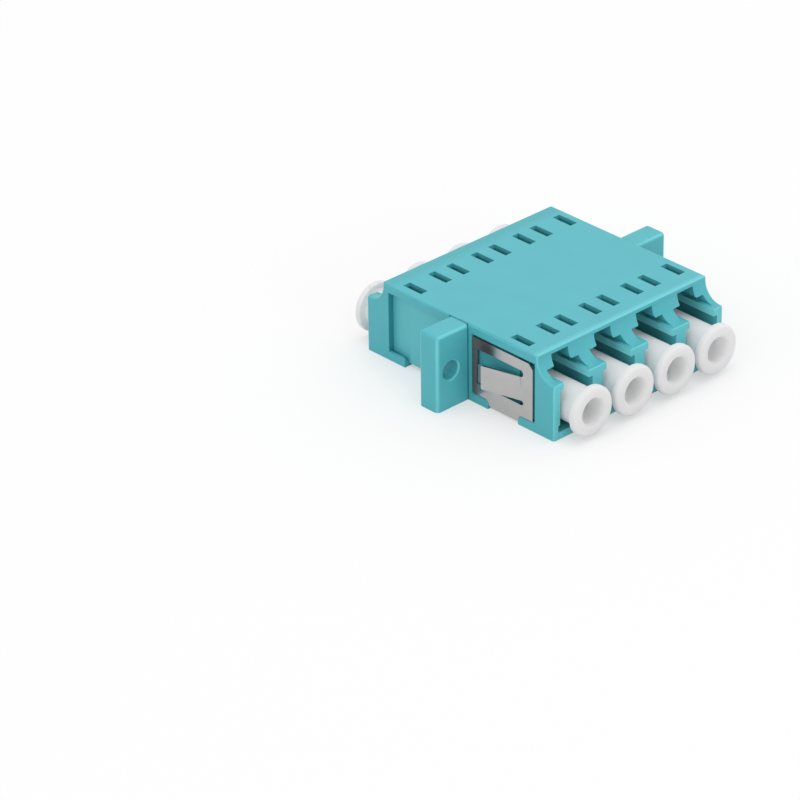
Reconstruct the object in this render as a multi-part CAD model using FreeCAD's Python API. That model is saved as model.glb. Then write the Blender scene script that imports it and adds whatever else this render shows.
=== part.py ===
import FreeCAD, Part
import math
import os

os.makedirs("parts", exist_ok=True)

Vector = FreeCAD.Vector
Y_AXIS = Vector(0, 1, 0)
X_AXIS = Vector(1, 0, 0)

# A four-port fibre adapter for small single-fibre plugs, fixed to a panel by two screw ears.
# Millimetres. X runs along the row of ports, -Y is the end that carries the spring clip,
# Z is up. The origin is the centre of the underside.

# Row of ports
port_count = 4
port_pitch = 6.25
outer_wall = 0.9
mid_wall = 1.8
port_depth = 13.15

# Port section, from the floor up
floor_thickness = 0.85
plug_height = 4.8
ledge_thickness = 0.82
channel_height = 0.86
thumb_slot_height = 1.27
roof_thickness = 0.48
mouth_width = 4.75
plug_width = 4.55
neck_width = 3.7
thumb_slot_width = 2.42
tooth_chamfer = 0.12
mouth_depth = 2.75
foot_groove_depth = 0.25
foot_groove_height = 0.8

# Ends of the roof and the windows that the plug latches rise into
brow_radius = 2.2
shelf_length = 0.28
edge_round = 0.25
lip_round = 0.15
window_width = 0.98
window_length = 2.72
window_web = 0.11
window_setback = 2.16
channel_past_window = 1.75

# Screw ears
ear_thickness = 2.76
ear_reach = 4.46
ear_drop = 0.14
ear_round = 0.45
ear_root = 0.4
screw_reach = 2.45
screw_height = 4.42
screw_hole = 2.2
screw_hole_chamfer = 0.15

# Recess that the spring clip lies in, the same on both halves
recess_strip = 0.55
recess_end_strip = 0.32
plain_end_strip = 0.85
recess_top_strip = 1.01
field_gap = 0.16
tab_height = 1.0
tab_round = 0.5
inner_tab_length = 2.4
outer_tab_length = 2.45
pocket_length = 2.75
pocket_depth = 0.72
tab_wall = 0.32
tab_groove = 0.55

# Spring clip
clip_thickness = 0.28
clip_sink = 0.06
clip_clearance = 0.02
clip_gap = 0.06
clip_top_gap = 0.34
clip_end_gap = 0.39
clip_corner = 0.6
clip_bend = 0.15
window_side = 0.6
clip_window_bottom = 2.41
clip_window_top = 6.52
clip_window_length = 6.61
tongue_slit_top = 0.8
tongue_slit_bottom = 0.54
tongue_slit_past = 0.3
tongue_length = 4.9
tongue_rise = 1.05
tongue_drop = 0.19
tongue_corner = 0.15
tongue_bend = 1.5
tongue_lead = 0.5
boss_length = 1.4
boss_height = 2.1
boss_rise = 0.31
boss_root = 0.15

# Sleeve holders and split sleeves
sleeve_bore = 1.25
sleeve_wall = 0.19
sleeve_half_length = 5.3
sleeve_slit = 0.3
sleeve_play = 0.06
holder_wall = 0.57
holder_flange = 4.3
holder_flange_thickness = 0.8
holder_lip = 0.5
holder_lip_bore = 1.42
holder_seat = 0.05
spigot_joint = 0.02

# Dust caps
cap_rim = 5.7
cap_rim_thickness = 0.9
cap_rim_chamfer = 0.25
cap_stand_off = 1.65
cap_neck = 4.24
cap_bore = 2.9
cap_bore_chamfer = 0.3
cap_web = 2.0
cap_fit = 0.05
cap_end_gap = 0.34
cap_overlap = 1.5

# How far a cutter reaches past the face that it opens
clear = 1.0

# Sizes that follow from the ones above
body_width = (port_count - 1) * port_pitch + mouth_width + 2 * outer_wall
body_length = mid_wall + 2 * port_depth
ledge_bottom = floor_thickness + plug_height
shelf_height = ledge_bottom + ledge_thickness
channel_top = shelf_height + channel_height
thumb_slot_top = channel_top + thumb_slot_height
body_height = thumb_slot_top + roof_thickness
axis_height = floor_thickness + plug_height / 2
roof_end = body_length / 2 - shelf_length - brow_radius
window_far = roof_end - window_setback
window_near = window_far - window_length
channel_end = window_near - channel_past_window
clip_depth = clip_sink + clip_thickness + clip_clearance
clip_inner_face = clip_depth - clip_clearance
recess_near = ear_thickness / 2 + recess_strip
recess_far = roof_end - recess_end_strip
plain_recess_far = roof_end - plain_end_strip
recess_top = body_height - recess_top_strip
recess_floor = body_width / 2 - clip_depth - field_gap
tab_near = recess_near + inner_tab_length
tab_far = recess_far - outer_tab_length
clip_face = body_width / 2 - clip_sink
clip_back = clip_face - clip_thickness
clip_near = recess_near + clip_gap
clip_window_near = clip_near + window_side
tongue_root = clip_window_near + clip_window_length
tongue_low = clip_window_bottom + tongue_slit_bottom
tongue_high = clip_window_top - tongue_slit_top
sleeve_outer = sleeve_bore + 2 * sleeve_wall
holder_bore = sleeve_outer + 2 * sleeve_play
holder_diameter = holder_bore + 2 * holder_wall
holder_end = sleeve_half_length + sleeve_play + holder_lip
cap_face = body_length / 2 + cap_stand_off + cap_rim_thickness
cap_back = cap_face - cap_rim_thickness
cap_tip = holder_end - cap_overlap
cap_socket_end = holder_end + cap_end_gap
cap_bore_floor = cap_socket_end + cap_web


def port_positions():
    first = -(port_count - 1) * port_pitch / 2
    return [first + i * port_pitch for i in range(port_count)]


def box(x0, x1, y0, y1, z0, z1):
    return Part.makeBox(x1 - x0, y1 - y0, z1 - z0, Vector(x0, y0, z0))


def rounded_face(corners, place):
    """Face of a closed outline whose corners (a, b, radius) lie in a plane set by place(a, b)."""
    edges = []
    ends = []
    count = len(corners)
    for i, (a, b, radius) in enumerate(corners):
        here = Vector(a, b, 0)
        before = Vector(corners[i - 1][0], corners[i - 1][1], 0) - here
        after = Vector(corners[(i + 1) % count][0], corners[(i + 1) % count][1], 0) - here
        before.normalize()
        after.normalize()
        if radius:
            half = before.getAngle(after) / 2
            back = radius / math.tan(half)
            inward = before + after
            inward.normalize()
            start = here + before * back
            end = here + after * back
            middle = here + inward * (radius / math.sin(half) - radius)
            ends.append((start, end))
            edges.append(Part.Arc(place(start), place(middle), place(end)).toShape())
        else:
            ends.append((here, here))
    for i in range(count):
        start = ends[i][1]
        end = ends[(i + 1) % count][0]
        if start.distanceToPoint(end) > 1e-6:
            edges.append(Part.LineSegment(place(start), place(end)).toShape())
    return Part.Face(Part.Wire(Part.__sortEdges__(edges)))


def along_x(corners, x0, x1):
    """Prism whose section in Y and Z runs from x0 to x1."""
    return rounded_face(corners, lambda p: Vector(x0, p.x, p.y)).extrude(Vector(x1 - x0, 0, 0))


def along_y(corners, y0, y1):
    """Prism whose section in X and Z runs from y0 to y1."""
    return rounded_face(corners, lambda p: Vector(p.x, y0, p.y)).extrude(Vector(0, y1 - y0, 0))


def along_z(corners, z0, z1):
    """Prism whose section in X and Y runs from z0 to z1."""
    return rounded_face(corners, lambda p: Vector(p.x, p.y, z0)).extrude(Vector(0, 0, z1 - z0))


def turned(corners, x, z=axis_height):
    """Solid turned about the line at x and z along Y, from corners (radius, y, rounding)."""
    face = rounded_face(corners, lambda p: Vector(x + p.x, p.y, z))
    return face.revolve(Vector(x, 0, z), Y_AXIS, 360)


def mirrored_x(shape):
    return shape.mirror(Vector(0, 0, 0), Vector(1, 0, 0))


def mirrored_y(shape):
    return shape.mirror(Vector(0, 0, 0), Vector(0, 1, 0))


def both_sides(shape):
    return [shape, mirrored_x(shape)]


def both_ends(shape):
    return [shape, mirrored_y(shape)]


def edges_where(shape, test):
    return [edge for edge in shape.Edges if test(edge.BoundBox)]


def body_block():
    """Solid body with the concave brow over each row of port mouths."""
    half = body_length / 2
    brow_top = shelf_height + brow_radius
    outline = [
        (-half, 0, 0),
        (half, 0, 0),
        (half, shelf_height, 0),
        (roof_end, shelf_height, brow_radius),
        (roof_end, body_height, 0),
        (-roof_end, body_height, 0),
        (-roof_end, shelf_height, brow_radius),
        (-half, shelf_height, 0),
    ]
    block = along_x(outline, -body_width / 2, body_width / 2)

    def lip(bounds):
        crosswise = bounds.XLength > 1e-6 and bounds.YLength < 1e-6
        outer = abs(abs(bounds.YMin) - half) < 1e-6 or bounds.ZMin > brow_top + 1e-6
        return crosswise and outer and bounds.ZMin > 1e-6

    def side(bounds):
        return bounds.XLength < 1e-6 and bounds.ZMax > 1e-6

    block = block.makeFillet(lip_round, edges_where(block, lip))
    return block.makeFillet(edge_round, edges_where(block, side))


def ear():
    """Screw ear on the -X side, with its outer and upper edges rounded."""
    side = body_width / 2
    tip = side + ear_reach
    top = body_height - ear_drop
    plate = box(-tip, -side + ear_root, -ear_thickness / 2, ear_thickness / 2, 0, top)

    def to_round(bounds):
        upright = bounds.ZLength > top / 2 and bounds.XMax < -side
        return upright or (bounds.ZMin > top / 2 and bounds.XMin < -side)

    plate = plate.makeFillet(ear_round, edges_where(plate, to_round))
    wide = screw_hole / 2 + screw_hole_chamfer
    deep = ear_thickness / 2 - screw_hole_chamfer
    hole = [
        (0, -ear_thickness, 0),
        (wide, -ear_thickness, 0),
        (wide, -ear_thickness / 2, 0),
        (screw_hole / 2, -deep, 0),
        (screw_hole / 2, deep, 0),
        (wide, ear_thickness / 2, 0),
        (wide, ear_thickness, 0),
        (0, ear_thickness, 0),
    ]
    return plate.cut(turned(hole, -side - screw_reach, screw_height))


def port_section(x):
    """Keyed section of a port: thumb slot, latch channel, ledges and plug bore."""
    right = [
        (thumb_slot_width / 2, thumb_slot_top),
        (thumb_slot_width / 2, channel_top + tooth_chamfer),
        (thumb_slot_width / 2 + tooth_chamfer, channel_top),
        (plug_width / 2, channel_top),
        (plug_width / 2, shelf_height),
        (neck_width / 2, shelf_height),
        (neck_width / 2, ledge_bottom),
        (plug_width / 2, ledge_bottom),
        (plug_width / 2, floor_thickness),
    ]
    left = [(-a, b) for a, b in reversed(right)]
    return [(x + a, b, 0) for a, b in right + left]


def port_cut(x):
    """Everything taken out of the body for the port at x on the clip half."""
    out = -body_length / 2 - clear
    face = -body_length / 2
    latch_part = along_y(port_section(x), out, -channel_end)
    bore = box(
        x - plug_width / 2,
        x + plug_width / 2,
        out,
        -mid_wall / 2,
        floor_thickness,
        ledge_bottom,
    )
    mouth_half = mouth_width / 2
    plug_half = plug_width / 2
    foot_half = mouth_half + foot_groove_depth
    lead_in = [
        (x - mouth_half, out, 0),
        (x + mouth_half, out, 0),
        (x + mouth_half, face, 0),
        (x + plug_half, face + mouth_depth, 0),
        (x - plug_half, face + mouth_depth, 0),
        (x - mouth_half, face, 0),
    ]
    mouth = along_z(lead_in, floor_thickness, ledge_bottom)
    upper = along_z(lead_in, shelf_height, channel_top)
    foot = box(
        x - foot_half,
        x + foot_half,
        out,
        face + mouth_depth,
        floor_thickness,
        floor_thickness + foot_groove_height,
    )
    cut = latch_part.fuse([bore, mouth, upper, foot])
    for side in (-1, 1):
        middle = x + side * (thumb_slot_width / 2 + window_web + window_width / 2)
        cut = cut.fuse(
            box(
                middle - window_width / 2,
                middle + window_width / 2,
                -window_far,
                -window_near,
                channel_top - channel_height / 2,
                body_height + clear,
            )
        )
    return cut


def clip_recess(far):
    """Seat of a clip on the -Y half: a field on each side and a channel under the body.

    The outer end of each field is a deeper pocket, with a groove behind the outer tab.
    """
    out = body_width / 2 + clear
    outer_tab = far - outer_tab_length
    outline = [
        (-recess_near, recess_top, 0),
        (-far, recess_top, 0),
        (-far, tab_height, 0),
        (-outer_tab, tab_height, tab_round),
        (-outer_tab, -clear, 0),
        (-tab_near, -clear, 0),
        (-tab_near, tab_height, tab_round),
        (-recess_near, tab_height, 0),
    ]
    core = [
        (-recess_floor, recess_top + clear, 0),
        (-recess_floor, clip_depth, clip_bend),
        (recess_floor, clip_depth, clip_bend),
        (recess_floor, recess_top + clear, 0),
    ]
    seat = along_x(outline, -out, out).cut(along_y(core, -far - clear, 0))
    pocket = box(
        -out,
        -body_width / 2 + pocket_depth,
        -far,
        -far + pocket_length,
        tab_height,
        recess_top,
    )
    groove = box(
        -body_width / 2 + tab_wall,
        -body_width / 2 + pocket_depth,
        -far,
        -far + pocket_length,
        tab_height - tab_groove,
        tab_height,
    )
    return seat.fuse(both_sides(pocket) + both_sides(groove))


def clip_boss():
    """Low boss in the side field that the clip's window drops over."""
    near = clip_window_near + clip_gap
    low = clip_window_bottom + clip_gap
    return box(
        -recess_floor - boss_rise,
        -recess_floor + boss_root,
        -near - boss_length,
        -near,
        low,
        low + boss_height,
    )


def housing():
    """The whole moulding: body, ears, eight ports, windows and the clip's seat."""
    block = body_block().fuse(both_sides(ear()))
    seats = [clip_recess(recess_far), mirrored_y(clip_recess(plain_recess_far))]
    cuts = []
    for x in port_positions():
        cuts += both_ends(port_cut(x))
        cuts.append(
            Part.makeCylinder(
                holder_diameter / 2 + holder_seat,
                2 * mid_wall,
                Vector(x, -mid_wall, axis_height),
                Y_AXIS,
            )
        )
    block = block.cut(seats)
    bosses = [turn for boss in both_sides(clip_boss()) for turn in both_ends(boss)]
    return block.fuse(bosses).cut(cuts).removeSplitter()


def clip_tongue():
    """Sprung tongue of the -X arm, bent out towards the ear and dropping to its free end."""
    free = tongue_root - tongue_length
    root = tongue_root + tongue_lead
    ramp = [
        (-clip_face, -root, 0),
        (-clip_face, -tongue_root, tongue_bend),
        (-clip_face - tongue_rise, -free, 0),
        (-clip_back - tongue_rise, -free, 0),
        (-clip_back, -tongue_root, tongue_bend),
        (-clip_back, -root, 0),
    ]
    outline = [
        (-root, tongue_low, 0),
        (-tongue_root, tongue_low, 0),
        (-free, tongue_low - tongue_drop, tongue_corner),
        (-free, tongue_high - tongue_drop, tongue_corner),
        (-tongue_root, tongue_high, 0),
        (-root, tongue_high, 0),
    ]
    sheet = along_z(ramp, tongue_low - clear, tongue_high + clear)
    return sheet.common(along_x(outline, -clip_face - tongue_rise - clear, 0))


def clip_opening():
    """Window of the -X arm with the two round-ended slits that free the tongue."""
    outside = -clip_face - clear
    inside = -clip_back + clear
    opening = box(outside, inside, -tongue_root, -clip_window_near, clip_window_bottom, clip_window_top)
    for low, high in ((clip_window_bottom, tongue_low), (tongue_high, clip_window_top)):
        width = high - low
        middle = (low + high) / 2
        end = -tongue_root - tongue_slit_past + width / 2
        slit = box(outside, inside, end, -tongue_root + width, low, high)
        tip = Part.makeCylinder(width / 2, inside - outside, Vector(outside, end, middle), X_AXIS)
        opening = opening.fuse([slit, tip])
    return opening


def spring_clip():
    """One strip of spring steel bent to a U: a strap under the body and an arm on each side."""
    far = recess_far - clip_end_gap
    strap_near = tab_near + clip_gap
    strap_far = tab_far - clip_gap
    bottom = tab_height + clip_gap
    top = recess_top - clip_top_gap
    strip = [
        (-clip_face, top, 0),
        (-clip_face, clip_sink, clip_bend + clip_thickness),
        (clip_face, clip_sink, clip_bend + clip_thickness),
        (clip_face, top, 0),
        (clip_back, top, 0),
        (clip_back, clip_inner_face, clip_bend),
        (-clip_back, clip_inner_face, clip_bend),
        (-clip_back, top, 0),
    ]
    outline = [
        (-clip_near, top, 0),
        (-far + clip_corner, top, 0),
        (-far, top - clip_corner, 0),
        (-far, bottom, 0),
        (-strap_far, bottom, tab_round + clip_gap),
        (-strap_far, 0, 0),
        (-strap_near, 0, 0),
        (-strap_near, bottom, tab_round + clip_gap),
        (-clip_near, bottom, 0),
    ]
    blank = along_y(strip, -far, -clip_near).common(along_x(outline, -clip_face, clip_face))
    return blank.cut(both_sides(clip_opening())).fuse(both_sides(clip_tongue())).removeSplitter()


def sleeve(x):
    """Split ceramic sleeve that lines up two ferrules."""
    corners = [
        (sleeve_bore / 2, -sleeve_half_length, 0),
        (sleeve_outer / 2, -sleeve_half_length, 0),
        (sleeve_outer / 2, sleeve_half_length, 0),
        (sleeve_bore / 2, sleeve_half_length, 0),
    ]
    slit = box(
        x - sleeve_slit / 2,
        x + sleeve_slit / 2,
        -sleeve_half_length - clear,
        sleeve_half_length + clear,
        axis_height,
        axis_height + sleeve_outer,
    )
    return turned(corners, x).cut(slit)


def holder(x):
    """Tube that keeps the sleeve on the port axis, seated on the middle wall by its flange."""
    seat = mid_wall / 2
    corners = [
        (holder_bore / 2, -spigot_joint, 0),
        (holder_diameter / 2, -spigot_joint, 0),
        (holder_diameter / 2, -seat, 0),
        (holder_flange / 2, -seat, 0),
        (holder_flange / 2, -seat - holder_flange_thickness, 0),
        (holder_diameter / 2, -seat - holder_flange_thickness, 0),
        (holder_diameter / 2, -holder_end, 0),
        (holder_lip_bore / 2, -holder_end, 0),
        (holder_lip_bore / 2, -holder_end + holder_lip, 0),
        (holder_bore / 2, -holder_end + holder_lip, 0),
    ]
    return turned(corners, x)


def dust_cap(x):
    """Round cap with a finger rim, a blind bore in its face and a socket over the holder."""
    rim = cap_rim / 2
    neck = cap_neck / 2
    bore = cap_bore / 2
    socket = holder_diameter / 2 + cap_fit
    corners = [
        (0, -cap_bore_floor, 0),
        (bore, -cap_bore_floor, 0),
        (bore, -cap_face + cap_bore_chamfer, 0),
        (bore + cap_bore_chamfer, -cap_face, 0),
        (rim - cap_rim_chamfer, -cap_face, 0),
        (rim, -cap_face + cap_rim_chamfer, 0),
        (rim, -cap_back, 0),
        (neck, -cap_back, 0),
        (neck, -cap_tip, 0),
        (socket, -cap_tip, 0),
        (socket, -cap_socket_end, 0),
        (0, -cap_socket_end, 0),
    ]
    return turned(corners, x)


def save(name, shape):
    shape.exportStep("parts/" + name + ".step")
    print(name, "solids", len(shape.Solids), "valid", shape.isValid(), "volume", round(shape.Volume, 3))


def main():
    save("housing", housing())
    save("spring_clip", spring_clip())
    for number, x in enumerate(port_positions(), 1):
        save("sleeve_%d" % number, sleeve(x))
        for end, front in (("front", True), ("rear", False)):
            for kind, maker in (("holder", holder), ("cap", dust_cap)):
                shape = maker(x)
                if not front:
                    shape = mirrored_y(shape)
                save("%s_%s_%d" % (end, kind, number), shape)


main()
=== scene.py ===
import math

import bpy
import numpy as np
from mathutils import Matrix, Vector


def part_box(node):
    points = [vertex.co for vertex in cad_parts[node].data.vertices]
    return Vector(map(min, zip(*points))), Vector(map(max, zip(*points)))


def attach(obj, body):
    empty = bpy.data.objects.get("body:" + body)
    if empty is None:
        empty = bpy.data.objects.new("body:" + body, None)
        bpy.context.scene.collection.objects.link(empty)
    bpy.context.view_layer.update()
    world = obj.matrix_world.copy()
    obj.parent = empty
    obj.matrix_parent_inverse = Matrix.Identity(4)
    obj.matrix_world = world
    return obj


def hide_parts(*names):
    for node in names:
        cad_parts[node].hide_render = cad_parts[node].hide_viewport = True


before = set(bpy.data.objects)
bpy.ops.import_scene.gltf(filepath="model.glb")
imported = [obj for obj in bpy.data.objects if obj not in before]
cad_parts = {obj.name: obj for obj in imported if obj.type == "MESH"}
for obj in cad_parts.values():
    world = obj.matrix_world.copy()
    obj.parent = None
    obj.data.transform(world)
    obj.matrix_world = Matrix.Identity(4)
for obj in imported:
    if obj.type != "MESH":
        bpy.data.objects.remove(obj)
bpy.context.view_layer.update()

# Looks of a four-port fibre adapter: a moulded blue-green housing, a bright spring clip and
# eight soft white dust caps. Metres. X runs along the row of ports, -Y is the clip's end.

MM = 0.001
PORTS = (1, 2, 3, 4)
ENDS = ("front", "rear")

# Camera of the photograph: where it stands, what it looks at, how far it leans, its lens
CAMERA_PLACE = (-0.29753, -0.29627, 0.23073)
CAMERA_AIM = (-0.02330, -0.00231, 0.00450)
CAMERA_LEAN = math.radians(-0.81)
SENSOR_WIDTH_MM = 36.0
LENS_MM = 201.85
NEAREST_SEEN = 0.01
FARTHEST_SEEN = 20.0

# Light
SKY_STRENGTH = 0.82
TOP_PLACE = (0.0, 0.0, 0.75)
TOP_SIZE = 0.60
TOP_POWER = 0.96
FRONT_PLACE = (-0.10, -0.70, 0.22)
FRONT_SIZE = 0.40
FRONT_POWER = 0.44
FLOOR_SIZE = 6.0
FLOOR_DROP = 0.01 * MM
FLOOR_WHITE = 0.80
FLOOR_GLOW_SHARE = 0.45
WHITE = (1, 1, 1, 1)

# Small roundings of the moulded and sheared edges
HOUSING_EDGE = 0.10 * MM
HOUSING_EDGE_STEPS = 3
CLIP_EDGE = 0.035 * MM
HOLDER_EDGE = 0.06 * MM
SLEEVE_EDGE = 0.03 * MM
SMALL_EDGE_STEPS = 2
SHARP_ANGLE = math.radians(28)
FLAT_ANGLE = math.radians(0.5)
WELD_GAP = 0.001 * MM

# Sizes of the housing that its painted light and shade follow
BODY_HALF_WIDTH = 12.65 * MM
BODY_HALF_LENGTH = 14.05 * MM
BODY_HEIGHT = 9.08 * MM
ROW_HALF_WIDTH = 11.80 * MM
PORT_FLOOR = 0.80 * MM
LEDGE_BOTTOM = 5.65 * MM
SHELF_HEIGHT = 6.47 * MM
CHANNEL_FOOT = 0.10 * MM
CHANNEL_FOOT_SOFT = 0.30 * MM
CHANNEL_ROOF = 8.62 * MM
BROW_RADIUS = 2.2 * MM
BROW_CENTRE_Y = 13.77 * MM
BROW_CENTRE_Z = 8.67 * MM
EAR_HALF_THICKNESS = 1.38 * MM
FIELD_HALF_WIDTH = 12.13 * MM
FIELD_END = 7.97 * MM
RECESS_LOW = 11.85 * MM
RECESS_HIGH = 12.55 * MM
TONGUE_TOP = 4.55 * MM
TONGUE_GAP_END = 3.10 * MM
TONGUE_ROOT = 9.20 * MM
RECESS_END = 10.50 * MM
RECESS_PAST_END = 11.50 * MM

# Painted light and shade in the housing's colour: painted highlights on the edges, painted light on the
# end faces, the ledges, the open recess and the gap past the clip, the painted shadow line at the ears'
# roots, painted shade in the ports and in the side recesses, a painted reflection of the steel beside
# the clip, and a painted highlight and painted shade at the two ends of the roof
EDGE_SKIN = 0.14 * MM
EDGE_SOFT = 0.03 * MM
EDGE_GAIN = 5.0
EDGE_HIGHLIGHT_SHARE = 0.6
END_FACE_LIGHT_SHARE = 0.35
RECESS_LIGHT_SHARE = 0.25
EAR_SHADOW_WIDTH = 0.09 * MM
EAR_SHADOW_SOFT = 0.04 * MM
EAR_SHADOW_FADE_ON_TOP = 0.6
PORT_SHADE_DEPTH = 2.2 * MM
PORT_SHADE = 0.5
FOOT_SHADE = 0.5
LEDGE_LIGHT_SHARE = 0.9
LEDGE_FADE = 0.3
FIELD_SHADE = 0.25
END_WALL_SHADE = 0.45
GAP_LIGHT_SHARE = 1.0
GAP_TOP = 7.20 * MM
STEEL_REFLECTION_SHARE = 0.6
ROOF_HIGHLIGHT_FROM = 10.75 * MM
ROOF_HIGHLIGHT_REACH = 0.70 * MM
ROOF_HIGHLIGHT_SHARE = 0.5
ROOF_SHADE_FROM = 9.40 * MM
ROOF_SHADE_REACH = 1.20 * MM
ROOF_SHADE_SHARE = 0.13

# Painted shade on the clip beside the ears, and the ear's dark painted reflection in its upper arm
SHADE_NEAR = 2.4 * MM
SHADE_FAR = 4.6 * MM
SHADE_UPPER = 6.4 * MM
SHADE_SOFT = 0.9 * MM
SHADE_EDGE = 0.1 * MM
ARM_HALF_WIDTH = 12.64 * MM
DARK_MIDDLE = 4.20 * MM
DARK_REACH = 0.60 * MM
DARK_SOFT = 0.70 * MM
DARK_TOP = 7.30 * MM
EAR_REFLECTION_SHARE = 0.55

# Colours as they would show on a screen
TEAL_LOW = (82, 182, 192)
TEAL_HIGH = (92, 192, 202)
# The next two are painted light and painted shade on the housing, not colours of its plastic
TEAL_PAINTED_HIGHLIGHT = (136, 234, 241)
TEAL_PAINTED_SHADE = (30, 104, 112)
STEEL_LOW = (178, 176, 176)
STEEL_HIGH = (192, 190, 189)
# The next three are painted shade and a painted reflection of the ear on the clip, and a painted
# reflection of the steel on the housing
STEEL_SHADE = (122, 106, 106)
STEEL_EAR_REFLECTION = (50, 46, 54)
STEEL_REFLECTION_COLOR = (136, 130, 138)
CAP_LOW = (228, 226, 227)
CAP_HIGH = (240, 238, 239)
# Painted light where light would shine through the cap's bore and neck
CAP_LIT_THROUGH_COLOR = (252, 251, 251)
CERAMIC_LOW = (236, 233, 224)
CERAMIC_HIGH = (244, 242, 236)

# Grain of the materials: patches per metre, and the heights of what stands out
HOUSING_CLOUDS = 240
HOUSING_GRAINS = 9000
HOUSING_GRAIN_HEIGHT = 0.0022 * MM
HOUSING_SINKS = 420
HOUSING_SINK_HEIGHT = 0.010 * MM
CAP_CLOUDS = 300
CAP_GRAINS = 7000
CAP_GRAIN_HEIGHT = 0.002 * MM
CAP_SINKS = 600
CAP_SINK_HEIGHT = 0.008 * MM
STEEL_HAZES = 500
STEEL_LINES = 14000
STEEL_LINE_STRETCH = (1.0, 1.0, 0.03)
STEEL_LINE_HEIGHT = 0.0006 * MM
CERAMIC_CLOUDS = 900
CERAMIC_GRAINS = 12000
CERAMIC_GRAIN_HEIGHT = 0.0006 * MM
FINE_DETAIL = 3.0
GRAIN_DETAIL = 2.0
SINK_DETAIL = 1.0
NOISE_MIDDLE = 0.5

# Gloss of the materials: roughness, how much it follows the clouds and the grain, and sheen
HOUSING_ROUGH = 0.36
HOUSING_ROUGH_BY_CLOUD = 0.12
HOUSING_ROUGH_BY_GRAIN = 0.10
HOUSING_SHEEN = 0.28
CAP_ROUGH = 0.58
CAP_ROUGH_BY_GRAIN = 0.10
CAP_SHEEN = 0.25
CAP_LIGHT_SHARE = 0.6
CAP_LIGHT_REACH = 2.4 * MM
STEEL_ROUGH = 0.20
STEEL_ROUGH_BY_SHADE = 0.06
STEEL_ROUGH_BY_HAZE = 0.08
STEEL_ROUGH_BY_LINES = 0.06
STEEL_DULLED_BY_SHADE = 0.6
CERAMIC_ROUGH = 0.14
CERAMIC_ROUGH_BY_CLOUD = 0.06

# Dust cap, on top of what its CAD solid gives
CAP_TURNS = 96
CAP_ROUND_STEPS = 7
CAP_RIM_THICK = 0.90 * MM
CAP_RIM_ROUND = 0.40 * MM
CAP_BACK_ROUND = 0.16 * MM
CAP_NECK_RADIUS = 2.12 * MM
CAP_NECK_FILLET = 0.12 * MM
CAP_BORE_RADIUS = 1.45 * MM
CAP_BORE_FLOOR_RADIUS = 1.38 * MM
CAP_BORE_DEPTH = 8.4 * MM
CAP_BORE_ROUND = 0.45 * MM
CAP_BORE_MARK = 0.04 * MM
# Share of painted light on the neck behind the rim
NECK_SHARE = 0.65
CAP_WEB = 2.0 * MM
CAP_SOCKET_RADIUS = 1.49 * MM
CAP_TIP_ROUND = 0.25 * MM
CAP_SMALL_ROUND = 0.05 * MM


class Wire:
    """A socket of a node tree. Sums and products of wires are written as Python expressions."""

    def __init__(self, tree, socket):
        self.tree = tree
        self.socket = socket

    def math(self, operation, *values):
        return add_node(self.tree, "Math", {"operation": operation}, dict(enumerate(values)))

    def __add__(self, other):
        return self.math("ADD", self, other)

    __radd__ = __add__

    def __sub__(self, other):
        return self.math("SUBTRACT", self, other)

    def __rsub__(self, other):
        return self.math("SUBTRACT", other, self)

    def __mul__(self, other):
        return self.math("MULTIPLY", self, other)

    __rmul__ = __mul__

    def size(self):
        return self.math("ABSOLUTE", self)

    def larger(self, other):
        return self.math("MAXIMUM", self, other)

    def root(self):
        return self.math("SQRT", self)

    def clamped(self):
        return self.math("MINIMUM", self.math("MAXIMUM", self, 0.0), 1.0)


def add_node(tree, kind, settings=None, inputs=None, output=0):
    """Adds a shader node, sets its settings, then its sockets' values or links, and gives an output."""
    node = tree.nodes.new("ShaderNode" + kind)
    for name, value in (settings or {}).items():
        setattr(node, name, value)
    for name, value in (inputs or {}).items():
        if isinstance(value, Wire):
            tree.links.new(value.socket, node.inputs[name])
        else:
            node.inputs[name].default_value = value
    return Wire(tree, node.outputs[output]) if len(node.outputs) else None


def empty_tree(owner):
    owner.use_nodes = True
    owner.node_tree.nodes.clear()
    return owner.node_tree


def new_material(name):
    material = bpy.data.materials.new(name)
    return material, empty_tree(material)


def linear(color):
    """Linear colour of an 8-bit screen colour, by the usual screen curve."""
    screen = np.array(color) / 255
    light = np.where(screen <= 0.04045, screen / 12.92, ((screen + 0.055) / 1.055) ** 2.4)
    return (*light.tolist(), 1.0)


def object_place(tree):
    return add_node(tree, "TexCoord", output="Object")


def stretched(tree, place, scale):
    return add_node(tree, "Mapping", {}, {"Vector": place, "Scale": scale})


def noise(tree, place, per_metre, detail=GRAIN_DETAIL):
    inputs = {"Vector": place, "Scale": per_metre, "Detail": detail}
    return add_node(tree, "TexNoise", {}, inputs, "Fac")


def blended(tree, share, low, high):
    """Colour between low and high. The Mix node keeps its colour sockets at 6, 7 and output 2."""
    return add_node(tree, "Mix", {"data_type": "RGBA"}, {0: share, 6: low, 7: high}, 2)


def bumped(tree, height, distance, under=None):
    inputs = {"Height": height, "Distance": distance}
    if under is not None:
        inputs["Normal"] = under
    return add_node(tree, "Bump", {}, inputs)


def shown(tree, surface):
    add_node(tree, "OutputMaterial", {}, {"Surface": surface})


def finished(tree, inputs):
    shown(tree, add_node(tree, "BsdfPrincipled", {}, inputs))


def sizes_of(tree, vector):
    """Sizes of a vector's three parts, without their signs, so a finish is the same on both sides."""
    return [add_node(tree, "SeparateXYZ", {}, {"Vector": vector}, axis).size() for axis in "XYZ"]


def beyond(value, limit, soft):
    """0 up to a limit, then rising to 1 over a soft step."""
    return ((value - limit) * (1 / soft)).clamped()


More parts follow.
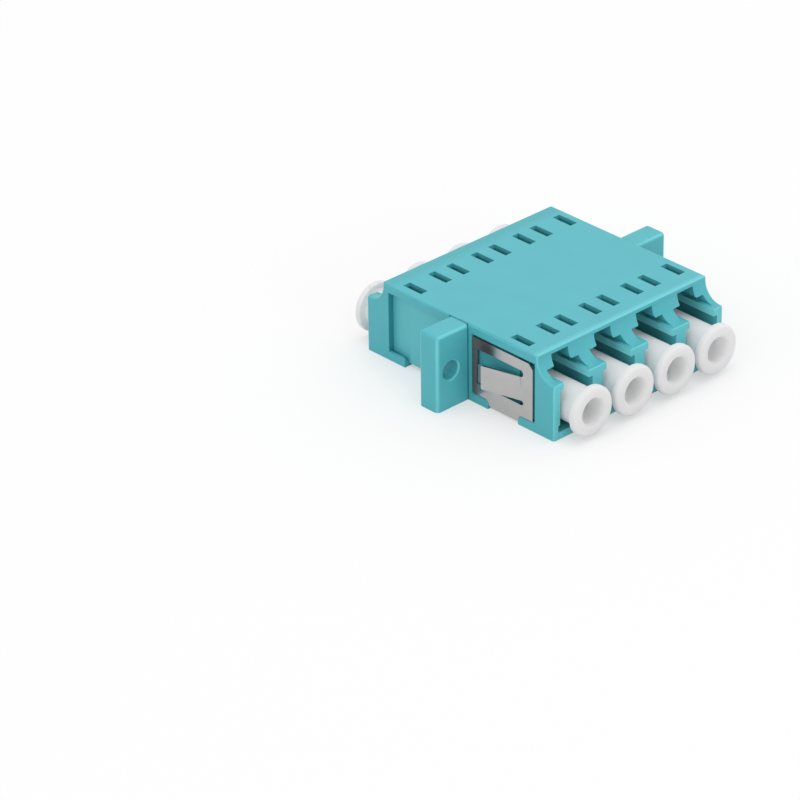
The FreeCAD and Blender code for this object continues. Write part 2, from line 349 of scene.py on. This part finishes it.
def ear_root_shadow(x, y, up):
    """1 in the narrow painted shadow line where an ear's root meets the body's side, fainter on top."""
    off_line = (x - BODY_HALF_WIDTH).size()
    off_root = y - EAR_HALF_THICKNESS
    line = 1 - beyond(off_line.larger(off_root), EAR_SHADOW_WIDTH - EAR_SHADOW_SOFT, EAR_SHADOW_SOFT)
    return line * (1 - up * EAR_SHADOW_FADE_ON_TOP)


def outer_edges(x, y, z, across, along, up):
    """Painted highlight: 1 on the roundings of the outer skin, where the normal lies between the main
    directions.

    The long upper edges of the sides are left out: across times up is one half at their middle.
    """
    straight = across.larger(along).larger(up)
    rounding = ((1 - straight) * EDGE_GAIN).clamped() * (1 - 2 * across * up)
    side = beyond(x, BODY_HALF_WIDTH - EDGE_SKIN, EDGE_SOFT)
    end = beyond(y, BODY_HALF_LENGTH - EDGE_SKIN, EDGE_SOFT)
    top = beyond(z, BODY_HEIGHT - 2 * EDGE_SKIN, EDGE_SOFT)
    beside_step = 1 - beyond((y - FIELD_END).size(), EDGE_SKIN, EDGE_SOFT)
    step = beside_step * beyond(x, FIELD_HALF_WIDTH - EDGE_SKIN, EDGE_SOFT)
    return rounding * side.larger(end).larger(top).larger(step)


def inside_ports(x, y, z, across):
    """Shares of painted shade: depth inside the ports, 0 outside and rising to 1, and the corner at the
    foot of the channels.

    Above the shelf the ports open through the brow, a hollow of radius BROW_RADIUS about a line
    along X, so the depth there is the distance from that line less the radius. Below the shelf it
    is the distance behind the end face.
    """
    off_y = y - BROW_CENTRE_Y
    off_z = z - BROW_CENTRE_Z
    behind_brow = (off_y * off_y + off_z * off_z).root() - BROW_RADIUS
    above_shelf = beyond(z, SHELF_HEIGHT - EDGE_SOFT, EDGE_SOFT)
    channel = beyond(behind_brow, 0.0, PORT_SHADE_DEPTH) * above_shelf
    bore = beyond(BODY_HALF_LENGTH - y, EDGE_SKIN, PORT_SHADE_DEPTH) * (1 - above_shelf)
    inside = beyond(z, PORT_FLOOR, EDGE_SOFT) * (1 - beyond(z, CHANNEL_ROOF, EDGE_SOFT))
    inside = inside * (1 - beyond(x, ROW_HALF_WIDTH, EDGE_SOFT))
    foot = 1 - beyond(z, SHELF_HEIGHT + CHANNEL_FOOT, CHANNEL_FOOT_SOFT)
    foot = foot * above_shelf * across * beyond(behind_brow, 0.0, CHANNEL_FOOT_SOFT)
    return (channel + bore) * inside, foot * inside


def ledges(x, z, across):
    """1 on the inner faces of the ledges that carry a plug, painted lighter for the light they catch
    from the caps.
    """
    ledge = beyond(z, LEDGE_BOTTOM - EDGE_SOFT, EDGE_SOFT) * (1 - beyond(z, SHELF_HEIGHT, EDGE_SOFT))
    return across * ledge * (1 - beyond(x, ROW_HALF_WIDTH, EDGE_SOFT))


def roof_ends(y, z, up, rear):
    """Shares of painted highlight along the roof's front edge and of painted shade along its rear edge.
    """
    roof = up * beyond(z, BODY_HEIGHT - EDGE_SKIN, EDGE_SOFT)
    pale = beyond(y, ROOF_HIGHLIGHT_FROM, ROOF_HIGHLIGHT_REACH) * (1 - rear)
    shade = beyond(y, ROOF_SHADE_FROM, ROOF_SHADE_REACH) * rear
    return roof * pale * ROOF_HIGHLIGHT_SHARE, roof * shade * ROOF_SHADE_SHARE


def side_recesses(x, y, z, across, along, rear):
    """Shares of painted light, of painted shade and of the steel's painted reflection on the recesses
    of the housing's sides.

    The open recess is painted paler than the body, as painted light, and its end walls get painted
    shade. The one under the clip gets painted shade for the clip's shadow, painted light in the gap
    past the clip's end, and between the clip's bar and the free end of its tongue a painted reflection
    of the steel.
    """
    depth = beyond(x, RECESS_LOW, EDGE_SOFT) * (1 - beyond(x, RECESS_HIGH, EDGE_SOFT))
    under_clip = across * depth * (1 - rear)
    low = 1 - beyond(z, TONGUE_TOP, SHADE_EDGE)
    painted_steel_reflection = under_clip * (1 - beyond(y, TONGUE_GAP_END, SHADE_EDGE)) * low
    far_end = depth * beyond(y, RECESS_END, EDGE_SOFT) * (1 - beyond(y, RECESS_PAST_END, EDGE_SOFT))
    end_wall = along * far_end * rear
    gap = far_end * (1 - rear) * (1 - beyond(z, GAP_TOP, SHADE_EDGE))
    shade = under_clip * (1 - beyond(y, TONGUE_ROOT, SHADE_EDGE)) * FIELD_SHADE
    pale = across * depth * rear * RECESS_LIGHT_SHARE + gap * GAP_LIGHT_SHARE
    return pale, shade + end_wall * END_WALL_SHADE, painted_steel_reflection


def housing_plastic():
    """Satin blue-green moulding: faint clouding of the colour, fine eroded grain, slight sink, and
    painted highlights, painted shade and a painted reflection of the steel in its colour.
    """
    material, tree = new_material("housing_plastic_look")
    place = object_place(tree)
    cloud = noise(tree, place, HOUSING_CLOUDS, FINE_DETAIL)
    grain = noise(tree, place, HOUSING_GRAINS)
    x, y, z = sizes_of(tree, place)
    clean = blended(tree, cloud, linear(TEAL_LOW), linear(TEAL_HIGH))
    across, along, up = sizes_of(tree, add_node(tree, "NewGeometry", output="Normal"))
    rear = beyond(add_node(tree, "SeparateXYZ", {}, {"Vector": place}, "Y"), 0.0, EDGE_SOFT)
    recess_painted_light, recess_shade, painted_steel_reflection = side_recesses(x, y, z, across, along, rear)
    roof_highlight, roof_shade = roof_ends(y, z, up, rear)
    ledge = ledges(x, z, across)
    inside, foot = inside_ports(x, y, z, across)
    # Painted shade in the ports, at the channels' foot, in the side recesses and at the roof's rear
    # edge
    shade = (inside * PORT_SHADE).larger(foot * FOOT_SHADE).larger(recess_shade).larger(roof_shade)
    deep = blended(tree, shade, clean, linear(TEAL_PAINTED_SHADE))
    # Painted light on the end faces, the open recess, the gap past the clip and the ledges, and painted
    # highlights on the edges and the roof's front edge
    ends = along * beyond(y, BODY_HALF_LENGTH - EDGE_SKIN, EDGE_SOFT)
    pale = ends * END_FACE_LIGHT_SHARE + recess_painted_light + ledge * (LEDGE_LIGHT_SHARE - inside * LEDGE_FADE)
    edges = pale.larger(outer_edges(x, y, z, across, along, up) * EDGE_HIGHLIGHT_SHARE).larger(roof_highlight)
    highlighted = blended(tree, edges, deep, linear(TEAL_PAINTED_HIGHLIGHT))
    # Painted reflection of the steel between the clip's bar and its tongue
    mirrored = blended(tree, painted_steel_reflection * STEEL_REFLECTION_SHARE, highlighted, linear(STEEL_REFLECTION_COLOR))
    # Painted shadow line at the ears' roots
    color = blended(tree, ear_root_shadow(x, y, up), mirrored, linear(TEAL_PAINTED_SHADE))
    sink = bumped(tree, noise(tree, place, HOUSING_SINKS, SINK_DETAIL), HOUSING_SINK_HEIGHT)
    cloud_rough = HOUSING_ROUGH_BY_CLOUD * (cloud - NOISE_MIDDLE)
    grain_rough = HOUSING_ROUGH_BY_GRAIN * (grain - NOISE_MIDDLE)
    finished(tree, {
        "Base Color": color,
        "Roughness": HOUSING_ROUGH + cloud_rough + grain_rough,
        "Normal": bumped(tree, grain, HOUSING_GRAIN_HEIGHT, under=sink),
        "Specular IOR Level": HOUSING_SHEEN,
    })
    return material


def cap_plastic():
    """Soft white plastic, slightly see-through, with a faintly uneven skin, and painted light in its
    bore and on its neck.
    """
    material, tree = new_material("cap_plastic_look")
    place = object_place(tree)
    cloud = noise(tree, place, CAP_CLOUDS, FINE_DETAIL)
    grain = noise(tree, place, CAP_GRAINS)
    skin = blended(tree, cloud, linear(CAP_LOW), linear(CAP_HIGH))
    # Painted light in the bore and on the neck, where light would shine through the thin walls
    light_through = add_node(tree, "Attribute", {"attribute_name": "light_through"}, output="Fac")
    color = blended(tree, light_through, skin, linear(CAP_LIT_THROUGH_COLOR))
    sink = bumped(tree, noise(tree, place, CAP_SINKS, SINK_DETAIL), CAP_SINK_HEIGHT)
    finished(tree, {
        "Base Color": color,
        "Roughness": CAP_ROUGH + CAP_ROUGH_BY_GRAIN * (grain - NOISE_MIDDLE),
        "Normal": bumped(tree, grain, CAP_GRAIN_HEIGHT, under=sink),
        "Subsurface Weight": CAP_LIGHT_SHARE,
        "Subsurface Radius": (1.0, 1.0, 1.0),
        "Subsurface Scale": CAP_LIGHT_REACH,
        "Specular IOR Level": CAP_SHEEN,
    })
    return material


def beside_ear(tree, place):
    """Shares of painted shade and of a dark painted reflection on the arms by the ear.

    The painted shade fades out along the arm and leaves the free tongue bright. The dark spot is a
    painted reflection of the ear in the arm above the window.
    """
    x, y, z = sizes_of(tree, place)
    ear = 1 - beyond(y, SHADE_NEAR, SHADE_SOFT)
    upper = beyond(z, SHADE_UPPER, SHADE_EDGE) * (1 - beyond(y, SHADE_FAR, SHADE_SOFT))
    dark = 1 - beyond((y - DARK_MIDDLE).size(), DARK_REACH, DARK_SOFT)
    dark = dark * beyond(z, SHADE_UPPER, SHADE_EDGE) * (1 - beyond(z, DARK_TOP, DARK_SOFT))
    arm = 1 - beyond(x, ARM_HALF_WIDTH, SHADE_EDGE)
    return ear.larger(upper) * arm, dark * arm


def clip_steel():
    """Bright spring steel with fine rolling lines along the strip and faint handling haze, and painted
    shade and a dark painted reflection of the ear beside the ears.
    """
    material, tree = new_material("clip_steel_look")
    place = object_place(tree)
    lines = noise(tree, stretched(tree, place, STEEL_LINE_STRETCH), STEEL_LINES, FINE_DETAIL)
    haze = noise(tree, place, STEEL_HAZES, FINE_DETAIL)
    bright = blended(tree, haze, linear(STEEL_LOW), linear(STEEL_HIGH))
    # Painted shade beside the ears and a dark painted reflection of the ear
    shade, dark = beside_ear(tree, place)
    shaded = blended(tree, shade, bright, linear(STEEL_SHADE))
    color = blended(tree, dark * EAR_REFLECTION_SHARE, shaded, linear(STEEL_EAR_REFLECTION))
    rough = STEEL_ROUGH + STEEL_ROUGH_BY_SHADE * shade + STEEL_ROUGH_BY_HAZE * (haze - NOISE_MIDDLE)
    finished(tree, {
        "Base Color": color,
        "Metallic": 1 - STEEL_DULLED_BY_SHADE * shade,
        "Roughness": rough + STEEL_ROUGH_BY_LINES * (lines - NOISE_MIDDLE),
        "Normal": bumped(tree, lines, STEEL_LINE_HEIGHT),
    })
    return material


def sleeve_ceramic():
    """Polished white ceramic with a faint warm clouding."""
    material, tree = new_material("sleeve_ceramic_look")
    place = object_place(tree)
    cloud = noise(tree, place, CERAMIC_CLOUDS)
    grain = noise(tree, place, CERAMIC_GRAINS)
    finished(tree, {
        "Base Color": blended(tree, cloud, linear(CERAMIC_LOW), linear(CERAMIC_HIGH)),
        "Roughness": CERAMIC_ROUGH + CERAMIC_ROUGH_BY_CLOUD * (cloud - NOISE_MIDDLE),
        "Normal": bumped(tree, grain, CERAMIC_GRAIN_HEIGHT),
    })
    return material


def rounded_outline(corners, steps):
    """Points of an open outline of corners (radius, y, rounding).

    A corner with a rounding r becomes an arc: its centre lies on the bisector at r / sin(half the
    corner), and its points turn evenly from one tangent point to the other.
    """
    corners = np.asarray(corners, float)
    points = [corners[:1, :2]]
    for before, here, after in zip(corners[:-2], corners[1:-1], corners[2:]):
        radius = here[2]
        corner = here[:2]
        if radius == 0:
            points.append(corner[None])
            continue
        to_before = before[:2] - corner
        to_after = after[:2] - corner
        to_before /= np.linalg.norm(to_before)
        to_after /= np.linalg.norm(to_after)
        half = math.acos(np.clip(to_before @ to_after, -1, 1)) / 2
        bisector = to_before + to_after
        bisector /= np.linalg.norm(bisector)
        centre = corner + bisector * radius / math.sin(half)
        start = corner + to_before * radius / math.tan(half) - centre
        end = corner + to_after * radius / math.tan(half) - centre
        first = math.atan2(start[1], start[0])
        turn = math.atan2(end[1], end[0]) - first
        turn = (turn + math.pi) % (2 * math.pi) - math.pi
        angles = first + np.linspace(0, 1, steps + 1) * turn
        points.append(centre + radius * np.column_stack([np.cos(angles), np.sin(angles)]))
    points.append(corners[-1:, :2])
    return np.vstack(points)


def turned_mesh(name, outline, centre_x, centre_z, turns):
    """Closed surface of an outline (radius, y) turned about the port axis.

    A point at angle a is (centre_x + r cos a, y, centre_z + r sin a). The outline starts and ends
    on the axis, so its first and last points are single vertices.
    """
    angles = np.linspace(0, 2 * math.pi, turns, endpoint=False)
    ring = outline[1:-1]
    rings = len(ring)
    radius, along = ring[:, 0][:, None], ring[:, 1][:, None]
    x = centre_x + radius * np.cos(angles)
    z = centre_z + radius * np.sin(angles)
    y = np.broadcast_to(along, x.shape)
    body = np.stack([x, y, z], axis=2).reshape(-1, 3)
    poles = np.array([[centre_x, outline[0, 1], centre_z], [centre_x, outline[-1, 1], centre_z]])
    points = np.vstack([body, poles])
    row = np.arange(rings - 1)[:, None] * turns
    here = np.arange(turns)[None]
    there = (here + 1) % turns
    quads = np.stack([row + here, row + there, row + turns + there, row + turns + here], axis=2)
    first_pole = np.full(turns, rings * turns)
    start = np.column_stack([first_pole, there[0], here[0]])
    last = (rings - 1) * turns
    end = np.column_stack([first_pole + 1, last + here[0], last + there[0]])
    faces = quads.reshape(-1, 4).tolist() + start.tolist() + end.tolist()
    mesh = bpy.data.meshes.new(name)
    mesh.from_pydata(points.tolist(), [], faces)
    mesh.polygons.foreach_set("use_smooth", np.ones(len(faces), bool))
    mesh.update()
    return mesh


def mark_thin_walls(mesh, centre_x, centre_z, face, out):
    """Attribute for painted light on the walls that light shines through: 1 in the bore, 0 on the rim's
    face.

    A point is in the bore when its distance from the port axis is under the mouth's radius and it
    lies less than the bore's depth behind the face. Behind the rim's middle it has NECK_SHARE.
    """
    points = np.empty(3 * len(mesh.vertices), np.float32)
    mesh.vertices.foreach_get("co", points)
    x, y, z = points.reshape(-1, 3).T
    radius = np.hypot(x - centre_x, z - centre_z)
    behind = (face - y) * out
    inside = (radius < CAP_BORE_RADIUS + CAP_BORE_MARK) & (behind < CAP_BORE_DEPTH + CAP_BORE_MARK)
    neck = np.clip((behind - CAP_RIM_THICK / 2) / CAP_BACK_ROUND, 0, 1) * NECK_SHARE
    mark = mesh.attributes.new("light_through", "FLOAT", "POINT")
    mark.data.foreach_set("value", np.where(inside, 1, neck).astype(np.float32))


def dust_cap(end, port):
    """Round cap whose rim, bore and neck edges are all rounded, as it leaves its mould."""
    node = "%s_cap_%d" % (end, port)
    low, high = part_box(node)
    out = -1 if end == "front" else 1
    face = low.y if end == "front" else high.y
    tip = high.y if end == "front" else low.y
    rim = (high.x - low.x) / 2
    inward = -out
    floor = face + inward * CAP_BORE_DEPTH
    corners = [
        (0, floor, 0),
        (CAP_BORE_FLOOR_RADIUS, floor, CAP_SMALL_ROUND),
        (CAP_BORE_RADIUS, face, CAP_BORE_ROUND),
        (rim, face, CAP_RIM_ROUND),
        (rim, face + inward * CAP_RIM_THICK, CAP_BACK_ROUND),
        (CAP_NECK_RADIUS, face + inward * CAP_RIM_THICK, CAP_NECK_FILLET),
        (CAP_NECK_RADIUS, tip, CAP_TIP_ROUND),
        (CAP_SOCKET_RADIUS, tip, CAP_SMALL_ROUND),
        (CAP_SOCKET_RADIUS, floor + inward * CAP_WEB, CAP_SMALL_ROUND),
        (0, floor + inward * CAP_WEB, 0),
    ]
    outline = rounded_outline(corners, CAP_ROUND_STEPS)
    middle = (low + high) / 2
    mesh = turned_mesh(node + "_look", outline, middle.x, middle.z, CAP_TURNS)
    mark_thin_walls(mesh, middle.x, middle.z, face, out)
    if end == "rear":
        mesh.flip_normals()
    piece = bpy.data.objects.new(node + "_look", mesh)
    bpy.context.scene.collection.objects.link(piece)
    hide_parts(node)
    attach(piece, node)
    return piece


def round_edges(names, width, steps):
    """Small roundings on CAD nodes: weld the triangles, merge flat faces, then bevel sharp edges."""
    for name in names:
        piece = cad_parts[name]
        weld = piece.modifiers.new("weld", "WELD")
        weld.merge_threshold = WELD_GAP
        flat = piece.modifiers.new("flat", "DECIMATE")
        flat.decimate_type = "DISSOLVE"
        flat.angle_limit = FLAT_ANGLE
        bevel = piece.modifiers.new("edges", "BEVEL")
        bevel.width = width
        bevel.segments = steps
        bevel.limit_method = "ANGLE"
        bevel.angle_limit = SHARP_ANGLE
        bevel.harden_normals = True


def dress(names, material):
    for name in names:
        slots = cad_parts[name].data.materials
        slots.clear()
        slots.append(material)


def camera():
    """Camera that stands, looks and leans as the photograph's did."""
    lens = bpy.data.cameras.new("camera")
    lens.sensor_width = SENSOR_WIDTH_MM
    lens.lens = LENS_MM
    lens.clip_start = NEAREST_SEEN
    lens.clip_end = FARTHEST_SEEN
    piece = bpy.data.objects.new("camera", lens)
    bpy.context.scene.collection.objects.link(piece)
    ahead = Vector(CAMERA_AIM) - Vector(CAMERA_PLACE)
    turn = ahead.to_track_quat("-Z", "Y").to_matrix().to_4x4()
    lean = Matrix.Rotation(CAMERA_LEAN, 4, "Z")
    piece.matrix_world = Matrix.Translation(CAMERA_PLACE) @ turn @ lean
    bpy.context.scene.camera = piece


def area_light(name, place, size, power):
    light = bpy.data.lights.new(name, "AREA")
    light.shape = "DISK"
    light.size = size
    light.energy = power
    piece = bpy.data.objects.new(name, light)
    bpy.context.scene.collection.objects.link(piece)
    piece.location = place
    piece.rotation_euler = (-Vector(place)).to_track_quat("-Z", "Y").to_euler()


def direct_rays(tree):
    """1 for what the camera sees and what surfaces mirror, 0 for the soft light that they get."""
    seen = add_node(tree, "LightPath", output="Is Camera Ray")
    mirrored = add_node(tree, "LightPath", output="Is Glossy Ray")
    return (seen + mirrored).clamped()


def sky():
    """Even soft light, seen as white by the camera and in reflections."""
    world = bpy.data.worlds.new("sky")
    bpy.context.scene.world = world
    tree = empty_tree(world)
    strength = SKY_STRENGTH + direct_rays(tree) * (1.0 - SKY_STRENGTH)
    light = add_node(tree, "Background", {}, {"Color": WHITE, "Strength": strength})
    add_node(tree, "OutputWorld", {}, {"Surface": light})


def floor():
    """White floor that keeps the object's soft shadow, just under the part's own flat underside."""
    half = FLOOR_SIZE / 2
    mesh = bpy.data.meshes.new("floor")
    corners = [(-half, -half), (half, -half), (half, half), (-half, half)]
    mesh.from_pydata([(x, y, -FLOOR_DROP) for x, y in corners], [], [(0, 1, 2, 3)])
    piece = bpy.data.objects.new("floor", mesh)
    bpy.context.scene.collection.objects.link(piece)
    material, tree = new_material("floor_look")
    direct = direct_rays(tree)
    pale = (FLOOR_WHITE, FLOOR_WHITE, FLOOR_WHITE, 1)
    color = blended(tree, direct, pale, WHITE)
    plain = add_node(tree, "BsdfDiffuse", {}, {"Color": color})
    glow = add_node(tree, "Emission", {}, {"Color": WHITE, "Strength": 1.0})
    shown(tree, add_node(tree, "MixShader", {}, {0: direct * FLOOR_GLOW_SHARE, 1: plain, 2: glow}))
    mesh.materials.append(material)


def main():
    holders = ["%s_holder_%d" % (end, port) for end in ENDS for port in PORTS]
    sleeves = ["sleeve_%d" % port for port in PORTS]
    round_edges(["housing"], HOUSING_EDGE, HOUSING_EDGE_STEPS)
    round_edges(["spring_clip"], CLIP_EDGE, SMALL_EDGE_STEPS)
    round_edges(holders, HOLDER_EDGE, SMALL_EDGE_STEPS)
    round_edges(sleeves, SLEEVE_EDGE, SMALL_EDGE_STEPS)
    dress(["housing"] + holders, housing_plastic())
    dress(["spring_clip"], clip_steel())
    dress(sleeves, sleeve_ceramic())
    white_plastic = cap_plastic()
    for end in ENDS:
        for port in PORTS:
            dust_cap(end, port).data.materials.append(white_plastic)
    bpy.context.scene.view_settings.view_transform = "Standard"
    camera()
    area_light("top light", TOP_PLACE, TOP_SIZE, TOP_POWER)
    area_light("front light", FRONT_PLACE, FRONT_SIZE, FRONT_POWER)
    sky()
    floor()


main()
